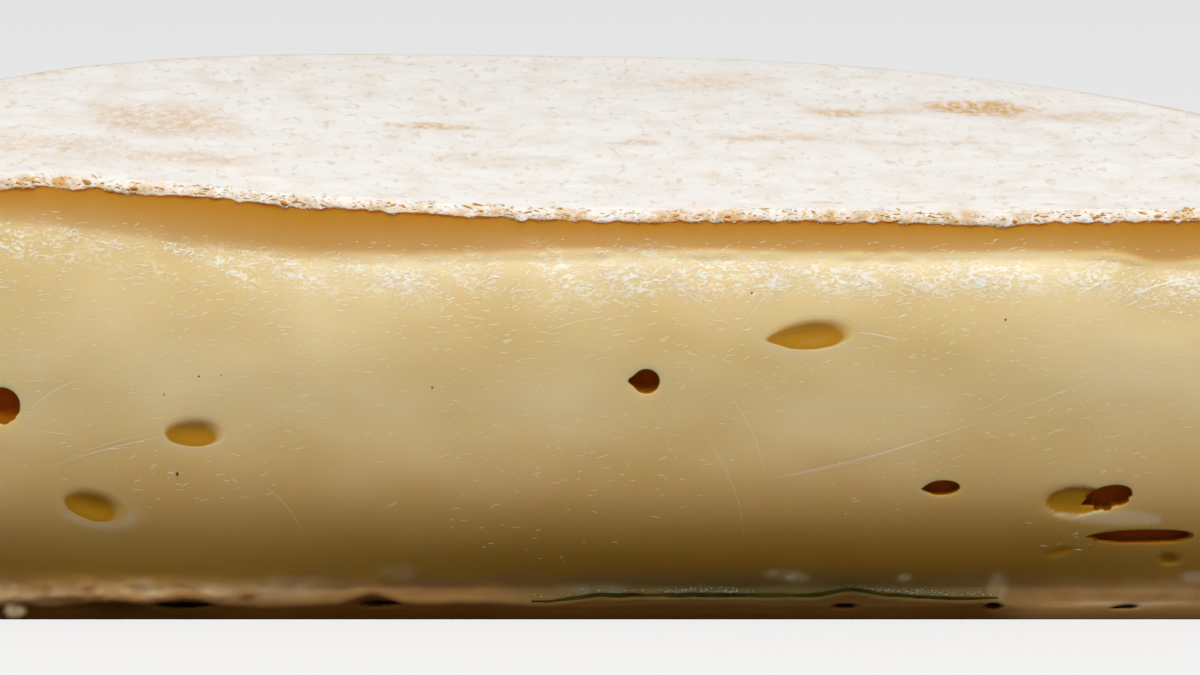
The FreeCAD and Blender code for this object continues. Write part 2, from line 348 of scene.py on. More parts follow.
def half_wheel_grid():
    """Places of a closed sheet of rows: up the cut, back over the top, down the side, under the base."""
    share = columns()
    nominal = RADIUS * share
    heights = face_heights(nominal)
    top = top_height(nominal, 0.0)
    radius = side_radius(heights, top)
    face_x = column_x(share, radius)
    face_z = face_heights(face_x[-1])
    face_x = column_x(share, side_radius(face_z, top_height(face_x[-1], 0.0)))
    face = np.stack([face_x, front_y(face_x, face_z), face_z], -1)

    flat_x = face_x[-1]
    flat_back = np.sqrt(np.maximum(side_radius(TOP, TOP) ** 2 - flat_x**2, 0.0))
    front = face[-1, :, 1]
    travel = np.linspace(0.0, 1.0, TOP_ROWS + 1)[1:, None] ** 1.35
    top_y = front + travel * (flat_back - front)
    top_x = np.broadcast_to(flat_x, top_y.shape)
    lid = np.stack([top_x, top_y, top_height(top_x, top_y)], -1)

    side_share = face_z[::-1, :1] / face_z[-1, 0]
    rim_top = lid[-1, :, 2]
    side_z = side_share[1:] * rim_top
    side_r = side_radius(side_z / rim_top * face_z[-1, 0], face_z[-1, 0])
    side_x = column_x(share, side_r)
    side_y = np.sqrt(np.maximum(side_r**2 - side_x**2, 0.0))
    side = np.stack([side_x, side_y, side_z], -1)

    travel = np.linspace(1.0, 0.0, BASE_ROWS + 1)[1:-1, None]
    base_front = face[0, :, 1]
    base_y = base_front + travel * (side[-1, :, 1] - base_front)
    base_x = side[-1, :, 0] * travel + face[0, :, 0] * (1.0 - travel)
    base = np.stack([base_x, base_y, 0.0 * base_x], -1)
    return face, lid, side, base


def make_mesh(name, points, faces, smooth=True):
    """A mesh object from places in the wheel's frame."""
    mesh = bpy.data.meshes.new(name)
    mesh.from_pydata(place(points).tolist(), [], faces)
    mesh.update()
    if smooth:
        mesh.polygons.foreach_set("use_smooth", [True] * len(mesh.polygons))
    piece = bpy.data.objects.new(name, mesh)
    bpy.context.scene.collection.objects.link(piece)
    return piece


def place(points):
    """Millimetres in the wheel's frame to metres in the row's frame."""
    points = np.array(points, float)
    points[:, 1] += CUT_Y
    return points * MM


def add_mask(piece, name, values):
    """A named number at each point of a mesh, for its material."""
    layer = piece.data.attributes.new(name, "FLOAT", "POINT")
    layer.data.foreach_set("value", np.asarray(values, np.float32))


# Eyes in the cut: x, z, half width, half height, depth, tilt in degrees, widening inside, rounding of
# the lip, (direction, length) of the pointed end, raggedness, sag of the lower lip, and how hidden the
# paste in it is, which sets how strong the painted shade and amber glow inside are: below 1 the eye
# is a shallow scoop
EYES = {
    "far_left": (-47.8, 18.9, 1.45, 1.45, 2.6, 0.0, 0.25, 0.08, (300, 0.0), 0.05, 0.0, 1.0),
    "pinhole": (3.7, 20.9, 1.02, 0.96, 2.6, 0.0, 0.3, 0.08, (178, 0.38), 0.02, 0.0, 1.0),
    "almond": (17.0, 24.75, 3.5, 1.32, 0.3, 5.0, 0.0, 0.02, (186, 0.16), 0.02, 0.0, 0.6),
    "slot": (27.5, 12.0, 1.32, 0.58, 1.9, 3.0, 0.2, 0.06, (187, 0.24), 0.02, 0.1, 1.0),
    "double": (40.9, 11.15, 1.85, 1.0, 2.6, 14.0, 0.2, 0.06, (190, 0.2), 0.16, 0.0, 1.0),
    "crack": (43.8, 7.75, 3.8, 0.45, 2.0, 1.0, 0.0, 0.05, (184, 0.12), 0.06, 0.7, 1.0),
    "high_scoop": (-32.4, 16.75, 2.6, 1.3, 0.3, 0.0, 0.0, 0.02, (180, 0.0), 0.02, 0.0, 0.5),
    "low_scoop": (-40.7, 10.4, 2.6, 1.42, 0.32, -17.0, 0.0, 0.02, (180, 0.0), 0.02, 0.0, 0.6),
    "outer_right": (57.5, 18.5, 1.7, 0.85, 1.6, -8.0, 0.1, 0.15, (0, 0.15), 0.03, 0.0, 1.0),
    "outer_left": (-58.0, 12.0, 1.3, 0.75, 1.5, 10.0, 0.1, 0.15, (180, 0.15), 0.03, 0.0, 1.0),
}


class Sheet:
    """The closed sheet's points and faces, into which eyes are let."""

    def __init__(self):
        face, lid, side, base = half_wheel_grid()
        self.face_rows = len(face)
        self.grid = np.concatenate([face, lid, side, base])
        self.rows, self.columns = self.grid.shape[:2]
        self.points = [self.grid.reshape(-1, 3)]
        self.hollow = [np.zeros(self.rows * self.columns)]
        self.open = np.ones((self.rows, self.columns - 1), bool)
        self.patches = []
        self.count = self.rows * self.columns

    def index(self, row, column):
        return (row % self.rows) * self.columns + column

    def add_points(self, points, hollow):
        first = self.count
        self.points.append(points)
        self.hollow.append(hollow)
        self.count += len(points)
        return np.arange(first, self.count)

    def let_in_eye(self, name, eye):
        """Cuts a block out of the face's grid and fills it with rings that run down into the eye."""
        x, z, half_width, half_height, depth, tilt, undercut, lip_round, point, ragged, sag, hidden = eye
        reach = 1.2 + max(point[1], 0.6 * sag)
        face = self.grid[: self.face_rows]
        middle_row = int(np.argmin(np.abs(face[:, self.columns // 2, 2] - z)))
        across = np.abs(face[middle_row, :, 0] - x) < half_width * reach + 0.3
        column_low, column_high = np.flatnonzero(across)[[0, -1]]
        tilt_rise = half_width * abs(math.sin(math.radians(tilt)))
        middle_column = (column_low + column_high) // 2
        upright = np.abs(face[:, middle_column, 2] - z) < half_height * reach + tilt_rise + 0.3
        row_low, row_high = np.flatnonzero(upright)[[0, -1]]
        self.open[row_low:row_high, column_low:column_high] = False

        loop = [(row_low, c) for c in range(column_low, column_high)]
        loop += [(r, column_high) for r in range(row_low, row_high)]
        loop += [(row_high, c) for c in range(column_high, column_low, -1)]
        loop += [(r, column_low) for r in range(row_high, row_low, -1)]
        outline = np.array([self.index(r, c) for r, c in loop])
        border = np.array([self.grid[r, c] for r, c in loop])

        turn = math.radians(tilt)
        dx, dz = border[:, 0] - x, border[:, 2] - z
        along = (dx * math.cos(turn) + dz * math.sin(turn)) / half_width
        up = (dz * math.cos(turn) - dx * math.sin(turn)) / half_height
        angle = np.arctan2(up, along)
        far = np.hypot(along, up)
        away = np.abs((angle - math.radians(point[0]) + math.pi) % (2 * math.pi) - math.pi)
        seed = len(name) * 7 + int(abs(x))
        rim = 1.0 + point[1] * np.exp(-((away / 0.3) ** 2))
        rim = rim + ragged * noise(angle * 6.0, 0.0, 1.0, seed) * ease(np.cos(angle + 1.9) + 0.6)
        rim = rim * (1.0 + sag * np.clip(-np.sin(angle), 0.0, 1.0) ** 2)
        blur = 0.1 + 0.6 * ease(0.5 + 0.6 * np.cos(angle - 1.1))

        def ring(share, sink, hollow):
            flat_x = share * np.cos(angle) * half_width
            flat_z = share * np.sin(angle) * half_height
            ring_x = x + flat_x * math.cos(turn) - flat_z * math.sin(turn)
            ring_z = z + flat_x * math.sin(turn) + flat_z * math.cos(turn)
            places = np.stack([ring_x, front_y(ring_x, ring_z) + sink, ring_z], -1)
            return self.add_points(places, hollow + 0.0 * angle)

        rings = [outline]
        scoop = hidden < 1.0
        round_share = lip_round / half_height
        for step in range(1, OUTER_RINGS + 1):
            travel = (step / OUTER_RINGS) ** 0.8
            share = far + (rim * (1.0 + round_share) - far) * travel
            rings.append(ring(share, 0.0, 0.0))
        # The lip rings and the rings inside carry how strongly shade and amber glow are painted there.
        for step in range(1, LIP_RINGS + 1):
            curl = math.radians(90.0 * step / LIP_RINGS)
            share = rim * (1.0 + round_share * (1.0 - math.sin(curl)))
            sink = lip_round * (1.0 - math.cos(curl))
            rings.append(ring(share, sink, 0.0 if scoop else LIP_PAINTED_SHADE))
        for step in range(1, INNER_RINGS):
            angle_in = math.radians(90.0 * step / INNER_RINGS)
            swell = 1.0 + undercut * math.sin(2.0 * angle_in)
            if scoop:
                sink = lip_round + depth * math.sin(angle_in) ** 4
                hollow = hidden * ease((1.0 - math.cos(angle_in)) / blur)
            else:
                sink = lip_round + depth * math.sin(angle_in)
                hollow = THROAT_PAINTED_SHADE + (hidden - THROAT_PAINTED_SHADE) * math.sin(angle_in)
            rings.append(ring(rim * math.cos(angle_in) * swell, sink, hollow))
        for outer, inner in zip(rings, rings[1:]):
            self.patches.append(np.stack([outer, np.roll(outer, -1), np.roll(inner, -1), inner], -1))
        last = rings[-1]
        middle = np.concatenate(self.points)[last].mean(0, keepdims=True)
        centre = self.add_points(middle, hidden * np.ones(1))
        fan = np.stack([last, np.roll(last, -1), np.full(len(last), centre[0])], -1)
        self.patches.append(fan)

    def faces(self):
        """All faces, and for each whether it belongs to the paste."""
        row, column = np.nonzero(self.open)
        corners = [(0, 0), (0, 1), (1, 1), (1, 0)]
        quads = np.stack([self.index(row + r, column + c) for r, c in corners], -1)
        lip_row = self.face_rows - 1 - EDGE_ROWS
        is_paste = row < lip_row
        faces = quads.tolist()
        paste = is_paste.tolist()
        for patch in self.patches:
            faces += patch.tolist()
            paste += [True] * len(patch)
        return faces, paste


def weld(points, faces, flags, masks):
    """Joins points that lie in one place, and drops faces that collapse to a line."""
    _, first, home = np.unique(np.round(points, 4), axis=0, return_index=True, return_inverse=True)
    home = home.reshape(-1)
    kept_faces = []
    kept_flags = []
    for corners, flag in zip(faces, flags):
        merged = list(dict.fromkeys(home[corners].tolist()))
        if len(merged) > 2:
            kept_faces.append(merged)
            kept_flags.append(flag)
    return points[first], kept_faces, kept_flags, {name: values[first] for name, values in masks.items()}


def cut_stains_and_painted_light(x, z, from_side):
    """How strong each tint of the paste is at each place of the cut, by name: some are its own stains, some
    painted shade, painted shadow or painted highlights.
    """
    lip, ledge = lip_line(x), ledge_line(x)
    soft = softness(x)
    under_rind = ease((z - ledge + 0.1 + 1.2 * soft) / (0.5 + 2.2 * soft))
    under_rind = under_rind * (0.6 + 0.4 * ease((z - ledge) / (lip - ledge)))
    edge = np.clip(1.0 - from_side / 4.0, 0.0, 1.0) ** 2

    right = ease((x - 31.0) / 5.0)
    on_plaque = ease((PLAQUE_RADIUS - np.abs(x - PLAQUE_X)) / 1.5)
    # The lower rind's brown edge, the brown under the plaque and along the base: the rind's own colour,
    # made darker in part as painted shade low on the cut.
    brown = ease((rind_line(x) - z + 0.25) / 0.7) * (1.0 - 0.45 * right)
    brown = np.maximum(brown, 0.9 * on_plaque * ease((plaque_height(x) - 0.1 - z) / 0.35))
    brown = np.maximum(brown, ease((0.9 - z) / 0.5) * (1.0 - 0.3 * right))
    halo = ease(1.0 - np.abs(x - PLAQUE_X) / (PLAQUE_RADIUS + 4.0)) ** 0.35

    # Painted shade: the paste is darkened towards the bottom of the cut, less on the left and at the far
    # right.
    shade = ease((14.0 - z) / 10.0)
    shade = shade * (1.0 - 0.5 * hump(x, -38.0, 44.0) - 0.25 * hump(x, 50.0, 18.0))
    # The belt under the shoulder, where the fat is crinkled and where painted highlights whiten the
    # crinkles' crests, in clumps.
    half_belt = 1.9 + 0.6 * soft + 1.6 * hump(x, -2.0, 16.0)
    belt = ease(1.0 - np.abs(z - ledge + 1.7 - 0.4 * soft) / half_belt)
    clumps = 0.8 * noise(x + z, z, 2.6, 88) + 0.4 * noise(x, z, 0.9, 89)
    # The toe tint: the darker, dried paste low on the cut, and partly painted shade under the bulge.
    toe = ease((4.4 - z + 0.3 * noise(x, 0.0, 3.0, 87)) / 1.6)
    return {
        "orange": np.clip(np.maximum(under_rind, edge), 0.0, 1.0),
        "shade": shade,
        "belt": belt * ease(0.7 - 0.25 * soft + clumps),
        "brown": brown,
        "green": 0.8 * halo * ease((5.2 - z) / 3.0) * (1.0 - 0.9 * brown),
        "toe": toe * (1.0 - 0.5 * on_plaque * ease((plaque_height(x) + 0.2 - z) / 0.4)),
        "pale": pale_share(x, z),
        "slit": slit_painted_shadow(x, z),
    }


def make_half_cheese():
    """Paste and rind as one closed form, with masks for what tints them."""
    sheet = Sheet()
    for name, eye in EYES.items():
        sheet.let_in_eye(name, eye)
    points = np.concatenate(sheet.points)
    x, y, z = points.T

    on_lid = np.zeros(len(points), bool)
    lid_first = (sheet.face_rows - 1) * sheet.columns
    lid_last = (sheet.face_rows + TOP_ROWS) * sheet.columns
    on_lid[lid_first:lid_last] = True
    fade = ease((side_radius(TOP, TOP) - np.hypot(x, y)) / 2.0)
    lift = np.where(on_lid, top_relief(x, y) * fade, 0.0)

    top = top_height(x, y)
    from_side = side_radius(np.clip(z, 0.0, top), top) - np.hypot(x, np.maximum(y, 0.0))
    round_run = np.arctan2(np.maximum(y, 0.0), x) * RADIUS
    skin = ease(1.0 - from_side / 0.8) * ease(z / 3.0)
    push = skin * (0.16 * rough(round_run, z, 7.0, 81) + 0.05 * rough(round_run, z, 1.3, 84))
    away = np.hypot(x, y) + 1e-6
    points = np.stack([x * (1.0 + push / away), y + push * y / away, z + lift], -1)

    in_cut = np.arange(len(points)) < sheet.face_rows * sheet.columns
    in_cut |= np.arange(len(points)) >= sheet.rows * sheet.columns
    masks = cut_stains_and_painted_light(x, z, from_side)
    # Painted shade and painted amber glow inside the eyes and soft hollows.
    masks["hollow"] = np.maximum(np.concatenate(sheet.hollow), dimple_painted_shade(x, z))
    masks = {name: values * in_cut for name, values in masks.items()}
    lip = lip_line(x)
    raw_edge = 0.85 - 0.75 * (z - lip) / (top - lip) + 0.3 * rough(x, z, 1.3, 86)
    raw_edge = raw_edge + 0.25 * noise(x, 0.0, 2.4, 90)
    on_edge = in_cut & (z > lip - 0.6)
    bare = np.where(on_edge, np.maximum(raw_edge, 0.1), bare_share(x, y, z, on_lid))
    masks["bare"] = np.clip(bare, 0.0, 1.0)

    points, faces, paste, masks = weld(points, *sheet.faces(), masks)
    piece = make_mesh("cheese", points, faces)
    for name, values in masks.items():
        add_mask(piece, name, values)
    piece.data.materials.append(ripe_paste())
    piece.data.materials.append(bloomed_rind())
    piece.data.polygons.foreach_set("material_index", [0 if flag else 1 for flag in paste])
    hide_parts("cheese_half")
    return piece


# How strong the painted highlight is round the rims of some eyes, strongest on their lower sides
RIM_HIGHLIGHTS = (("almond", 0.8), ("low_scoop", 0.6), ("high_scoop", 0.4), ("pinhole", 0.45), ("slot", 0.35))

# Whitish smears low on the cut: x, z, half width, half height, strength
SMEARS = (
    (14.8, 3.9, 1.6, 0.55, 0.55),
    (16.0, 3.5, 1.0, 0.45, 0.45),
    (24.7, 3.6, 0.6, 0.4, 0.5),
    (32.4, 2.8, 0.8, 1.3, 0.5),
    (48.2, 3.7, 1.1, 0.5, 0.8),
    (-0.5, 2.6, 3.0, 0.5, 0.25),
    (-47.6, 0.8, 0.8, 0.7, 0.8),
    (-16.5, 4.2, 1.6, 0.8, 0.3),
)


def pale_share(x, z):
    """Where the toe has dried whitish, where a thin flap of paste stands free, and the painted highlights
    round the rims of some eyes.
    """
    toe = ease((4.0 + 0.5 * rough(x, 0.0, 3.5, 94) - z) / 1.3) * ease((z - rind_line(x) - 0.1) / 0.6)
    toe = toe * (0.3 + 0.35 * rough(x, z, 1.8, 91)) * (hump(x, -42.0, 32.0) + 0.25 * hump(x, 46.0, 14.0))
    smears = 0.0
    for middle, height, half_width, half_height, strength in SMEARS:
        share = np.hypot((x - middle) / half_width, (z - height) / half_height)
        smears = smears + strength * ease(1.4 - share) * (0.8 + 0.5 * noise(x, z, 0.7, 95))
    layer = 0.6 * np.exp(-(((z - 1.25 - 0.1 * noise(x, 0.0, 2.0, 97)) / 0.2) ** 2)) * hump(x, 43.0, 9.0)
    along = np.clip((x - 36.6) / 8.4, 0.0, 1.0)
    flap_line = 9.9 - 0.75 * along
    flap_half = 0.3 + 0.62 * np.sin(math.pi * np.clip(0.12 + 0.8 * along, 0.0, 1.0))
    flap = 0.85 * ease(1.35 - np.abs(z - flap_line) / flap_half)
    flap = flap * ease((x - 36.2) / 0.8) * ease((45.4 - x) / 0.5)
    rim_highlights = 0.0
    for name, strength in RIM_HIGHLIGHTS:
        share = oval_share(x, z, EYES[name])
        lower = 0.25 + 0.75 * ease((EYES[name][1] - z) / EYES[name][3] + 0.1)
        rim_highlights = rim_highlights + strength * lower * ease((share - 1.0) / 0.12) * ease((1.75 - share) / 0.6)
    return np.clip(toe + smears + layer + flap + rim_highlights, 0.0, 1.0)


# Places on the top rind where the bloom is thin: x, y, half length, half width, how bare
BARE_PATCHES = (
    (-38.0, 26.0, 8.0, 6.5, 0.45),
    (-44.0, 12.0, 9.0, 5.0, 0.3),
    (-33.0, 11.0, 5.0, 3.5, 0.35),
    (-14.5, 31.0, 4.5, 1.3, 0.75),
    (-10.0, 18.0, 6.0, 3.0, 0.16),
    (3.0, 27.0, 2.2, 1.4, 0.45),
    (14.0, 29.0, 6.0, 1.6, 0.4),
    (32.5, 42.0, 6.0, 3.2, 0.9),
    (22.0, 40.0, 5.0, 2.6, 0.6),
    (42.0, 38.0, 6.0, 3.0, 0.35),
    (-52.0, 44.0, 6.0, 3.0, 0.6),
    (8.0, 52.0, 7.0, 4.0, 0.3),
    (27.0, 27.0, 9.0, 1.1, 0.3),
    (18.2, 3.2, 1.6, 0.45, 0.7),
    (25.0, 3.6, 1.7, 0.4, 0.6),
    (36.0, 2.6, 0.9, 0.4, 0.5),
)


def bare_share(x, y, z, on_lid):
    """Where the white bloom is thin and the washed rind shows through."""
    bare = 0.0
    for middle_x, middle_y, half_length, half_width, strength in BARE_PATCHES:
        wander = 0.35 * noise(x, y, half_width, 101)
        share = np.hypot((x - middle_x) / half_length, (y - middle_y) / half_width) + wander
        bare = bare + strength * ease(1.25 - share)
    worn_reach = 0.5 + 0.9 * np.abs(rough(x, 0.0, 2.8, 107))
    worn_edge = ease(1.0 - y / worn_reach) * (0.2 + 0.5 * rough(x, y, 0.9, 108))
    bare = bare + np.maximum(worn_edge, 0.0)
    flat = np.where(on_lid, 1.0, 0.0)
    sides = 0.25 + 0.3 * rough(np.arctan2(y, x) * RADIUS, z, 8.0, 105)
    return np.clip(bare * flat + (1.0 - flat) * sides, 0.0, 1.0)


# ---------------------------------------------------------------- plaque and crumbs


def plaque_height(x):
    """Height of the plaque's middle along the cut, bent as the cheese settled."""
    rise = 0.45 * ease((x - PLAQUE_X + PLAQUE_RADIUS - 1.0) / 5.0)
    fall = 0.25 * ease((x - PLAQUE_X - 9.0) / 9.0)
    return 1.5 + rise + 0.45 * hump(x, PLAQUE_X + 7.0, 3.2) - fall + 0.05 * noise(x, 0.0, 1.5, 112)


def make_plaque():
    """The half disc of casein, wavy, with its cut edge flush with the face."""
    across = np.linspace(-1.0, 1.0, 161)[None, :]
    travel = np.linspace(0.0, 1.0, 14)[:, None] ** 1.6
    x = PLAQUE_X + PLAQUE_RADIUS * across + 0.0 * travel
    middle = plaque_height(x)
    front = front_y(x, middle) - 0.05
    back = np.sqrt(np.maximum(PLAQUE_RADIUS**2 - (x - PLAQUE_X) ** 2, 0.0)) + 0.3
    y = front + travel * np.maximum(back - front, 0.3)
    half = (0.15 + 0.04 * noise(x, 0.0, 2.0, 111)) * (1.0 - 0.6 * np.abs(across) ** 8)
    upper = np.stack([x, y, middle + half], -1)
    lower = np.stack([x, y, middle - half], -1)
    rows = np.concatenate([upper, lower[::-1]])
    count, width = rows.shape[:2]
    faces = []
    for row in range(count):
        below = (row + 1) % count
        for column in range(width - 1):
            corners = (row, column), (row, column + 1), (below, column + 1), (below, column)
            faces.append([r * width + c for r, c in corners])
    faces.append([row * width for row in range(count)])
    faces.append([row * width + width - 1 for row in reversed(range(count))])
    piece = make_mesh("plaque", rows.reshape(-1, 3), faces, smooth=False)
    piece.data.materials.append(green_casein())
    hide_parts("casein_plaque")
    return piece


# Places along the cut where a larger lump of orange rind hangs on the edge
LUMPS = (-47.2, -46.3, -45.1, -41.5, -40.8, -39.7, -38.4, -37.6, -37.1, -25.2, -24.4, -23.6, -9.7, -9.4,
         5.2, 6.1, 6.9, 10.2, 12.4, 19.8, 33.1, 39.6, 41.0, 44.6, 45.9, 46.6, 53.0, 58.2, -52.5, -57.0)


def ball(detail):
    """Points and triangles of a small round lump."""
    shape = bmesh.new()
    bmesh.ops.create_icosphere(shape, subdivisions=detail, radius=1.0)
    points = np.array([list(v.co) for v in shape.verts])
    faces = np.array([[v.index for v in f.verts] for f in shape.faces])
    shape.free()
    return points, faces


def scatter(name, places, sizes, stretch, seed, material, detail=2):
    """One mesh of many uneven lumps."""
    draw = np.random.default_rng(seed)
    points, faces = ball(detail)
    all_points, all_faces = [], []
    for number, (spot, size) in enumerate(zip(places, sizes)):
        across = points[:, 0] * 3 + number * 17
        shape = 1.0 + 0.28 * noise(across, points[:, 1] * 3 + points[:, 2] * 2, 1.0, seed)
        axes = size * np.array(stretch) * draw.uniform(0.7, 1.3, 3)
        turn = draw.uniform(-0.6, 0.6)
        x, y, z = (points * shape[:, None] * axes).T
        cos, sin = math.cos(turn), math.sin(turn)
        lean = np.stack([x * cos - z * sin, y, x * sin + z * cos], -1)
        all_faces.append(faces + number * len(points))
        all_points.append(lean + spot)
    piece = make_mesh(name, np.concatenate(all_points), np.concatenate(all_faces).tolist())
    add_mask(piece, "tint", np.repeat(draw.uniform(0.0, 1.0, len(all_points)), len(points)))
    piece.data.materials.append(material)
    return piece


def lip_places(draw, count, low, high):
    """Random places along the torn edge of the top rind, between two heights from its lower line."""
    reach = side_radius(TOP, TOP) - 0.5
    x = draw.uniform(-reach, reach, count)
    clump = 0.5 + 0.5 * noise(x, 0.0, 3.0, 121)
    x = x[draw.uniform(0.0, 1.0, count) < 0.35 + 0.65 * clump]
    z = lip_line(x) + draw.uniform(low, high, len(x))
    y = front_y(x, np.maximum(z, lip_line(x) + 0.1)) + draw.uniform(-0.02, 0.05, len(x))
    return np.stack([x, y, z], -1)


def make_crumbs():
    """Crumbs along the torn rind, and dried bloom above the plaque."""
    pieces = []
    kinds = (
        ("crumbs_orange", 1500, 0.15, 0.8, 0.05, (2.8, 0.35, 0.7), 131, "#d0853a", "#eab674"),
        ("crumbs_cream", 2600, -0.05, 0.85, 0.05, (1.8, 0.35, 0.9), 132, "#f4dcae", "#fbf0d8"),
        ("crumbs_white", 900, -0.08, 0.2, 0.045, (2.4, 0.35, 0.7), 133, "#f2d6a4", "#fbecd0"),
    )
    for name, count, low, high, size, stretch, seed, dark, light in kinds:
        draw = np.random.default_rng(seed)
        places = lip_places(draw, count, low, high)
        sizes = size * draw.lognormal(0.0, 0.4, len(places))
        pieces.append(scatter(name, places, sizes, stretch, seed, crumb(name, dark, light)))

    x = np.array(LUMPS)
    z = lip_line(x) + 0.35
    places = np.stack([x, front_y(x, z), z], -1)
    sizes = 0.13 * np.random.default_rng(135).lognormal(0.0, 0.25, len(x))
    material = crumb("rind_lumps", "#cf8a3c", "#e2ac68")
    pieces.append(scatter("rind_lumps", places, sizes, (1.6, 0.8, 0.7), 136, material))

    draw = np.random.default_rng(141)
    x = draw.uniform(PLAQUE_X - PLAQUE_RADIUS, PLAQUE_X + PLAQUE_RADIUS, BLOOM_TRIES)
    crowd = 0.12 + 0.75 * hump(x, 9.0, 7.0) + 0.6 * hump(x, 26.5, 6.5)
    crowd = crowd + 0.4 * noise(x, 0.0, 1.5, 142)
    x = x[draw.uniform(0.0, 1.0, len(x)) < crowd]
    z = plaque_height(x) + 0.22 + np.abs(draw.normal(0.0, 0.17, len(x)))
    y = front_y(x, z) + 0.02
    sizes = 0.045 * draw.lognormal(0.0, 0.35, len(x))
    material = crumb("dried_bloom", "#8a7a4c", "#cbb888")
    places = np.stack([x, y, z], -1)
    pieces.append(scatter("plaque_bloom", places, sizes, (1.2, 0.8, 1.0), 143, material, detail=1))
    return pieces


# ---------------------------------------------------------------- marks of the knife

# Long scratches that the knife drew in the fat: x, z at both ends, bow, width
SCRATCHES = (
    (13.2, 12.7, 30.6, 17.7, -0.4, 0.1),
    (30.6, 17.7, 47.8, 24.6, -0.2, 0.07),
    (14.6, 12.9, 26.0, 16.1, -0.3, 0.05),
    (-44.1, 13.8, -35.2, 16.3, 0.2, 0.08),
    (-43.0, 14.4, -36.0, 16.6, 0.2, 0.05),
    (3.2, 29.8, 10.8, 25.0, 0.3, 0.07),
    (15.5, 30.0, 10.8, 24.5, -0.2, 0.08),
    (16.2, 28.6, 12.6, 25.0, -0.2, 0.05),
    (20.5, 24.8, 23.9, 24.2, 0.1, 0.12),
    (38.2, 27.8, 40.2, 28.7, 0.0, 0.16),
    (42.2, 27.6, 47.8, 28.9, 0.15, 0.13),
    (8.0, 16.9, 11.7, 6.7, 0.9, 0.05),
    (9.4, 21.0, 13.4, 12.0, 0.8, 0.05),
    (36.0, 22.5, 41.5, 13.0, 0.5, 0.04),
    (-45.5, 18.6, -41.6, 21.0, 0.3, 0.1),
    (-27.5, 12.5, -24.0, 8.0, 0.5, 0.05),
    (-4.2, 24.9, 0.6, 26.0, 0.2, 0.06),
    (-20.6, 22.8, -17.8, 23.6, 0.2, 0.07),
    (46.9, 19.6, 54.0, 20.8, 0.2, 0.1),
)


def ridges(name, starts, ends, bows, widths, lifts, material):
    """One mesh of thin raised lines that lie on the cut, each tapered to both ends."""
    steps = 8
    travel = np.linspace(0.0, 1.0, steps + 1)[None, :]
    run = ends - starts
    length = np.hypot(run[:, 0], run[:, 1])[:, None] + 1e-9
    across = np.stack([-run[:, 1], run[:, 0]], -1) / length
    middle = starts[:, None, :] + run[:, None, :] * travel[..., None]
    middle = middle + across[:, None, :] * (bows[:, None] * 4.0 * travel * (1.0 - travel))[..., None]
    taper = np.sin(math.pi * np.clip(travel, 0.02, 0.98)) ** 0.5
    rows = []
    for side, raised in ((-1.0, -0.4), (0.0, 1.0), (1.0, -0.4)):
        at = middle + across[:, None, :] * (side * 0.5 * widths[:, None] * taper)[..., None]
        y = front_y(at[..., 0], at[..., 1]) - raised * lifts[:, None] * taper
        rows.append(np.stack([at[..., 0], y, at[..., 1]], -1))
    points = np.stack(rows, 2).reshape(-1, 3)
    faces = []
    for line in range(len(starts)):
        for step in range(steps):
            for side in range(2):
                first = (line * (steps + 1) + step) * 3 + side
                faces.append([first, first + 1, first + 4, first + 3])
    piece = make_mesh(name, points, faces)
    piece.data.materials.append(material)
    return piece


def in_an_eye(x, z):
    """True where an eye opens the cut, or a soft hollow sinks in it."""
    inside = np.zeros(len(x), bool)
    for eye in EYES.values():
        inside |= np.hypot((x - eye[0]) / (eye[2] + 0.5), (z - eye[1]) / (eye[3] + 0.5)) < 1.0 + eye[8][1]
    for dimple in DIMPLES:
        inside |= oval_share(x, z, dimple) < 1.1
    return inside


def fleck_lines(draw, x, z, length, lean, spread_of_lean):
    """Ends of short lines at these places."""
    angle = np.radians(draw.normal(lean, spread_of_lean, len(x)))
    half = 0.5 * length * draw.lognormal(0.0, 0.5, len(x))
    step = np.stack([half * np.cos(angle), half * np.sin(angle)], -1)
    middle = np.stack([x, z], -1)
    return middle - step, middle + step


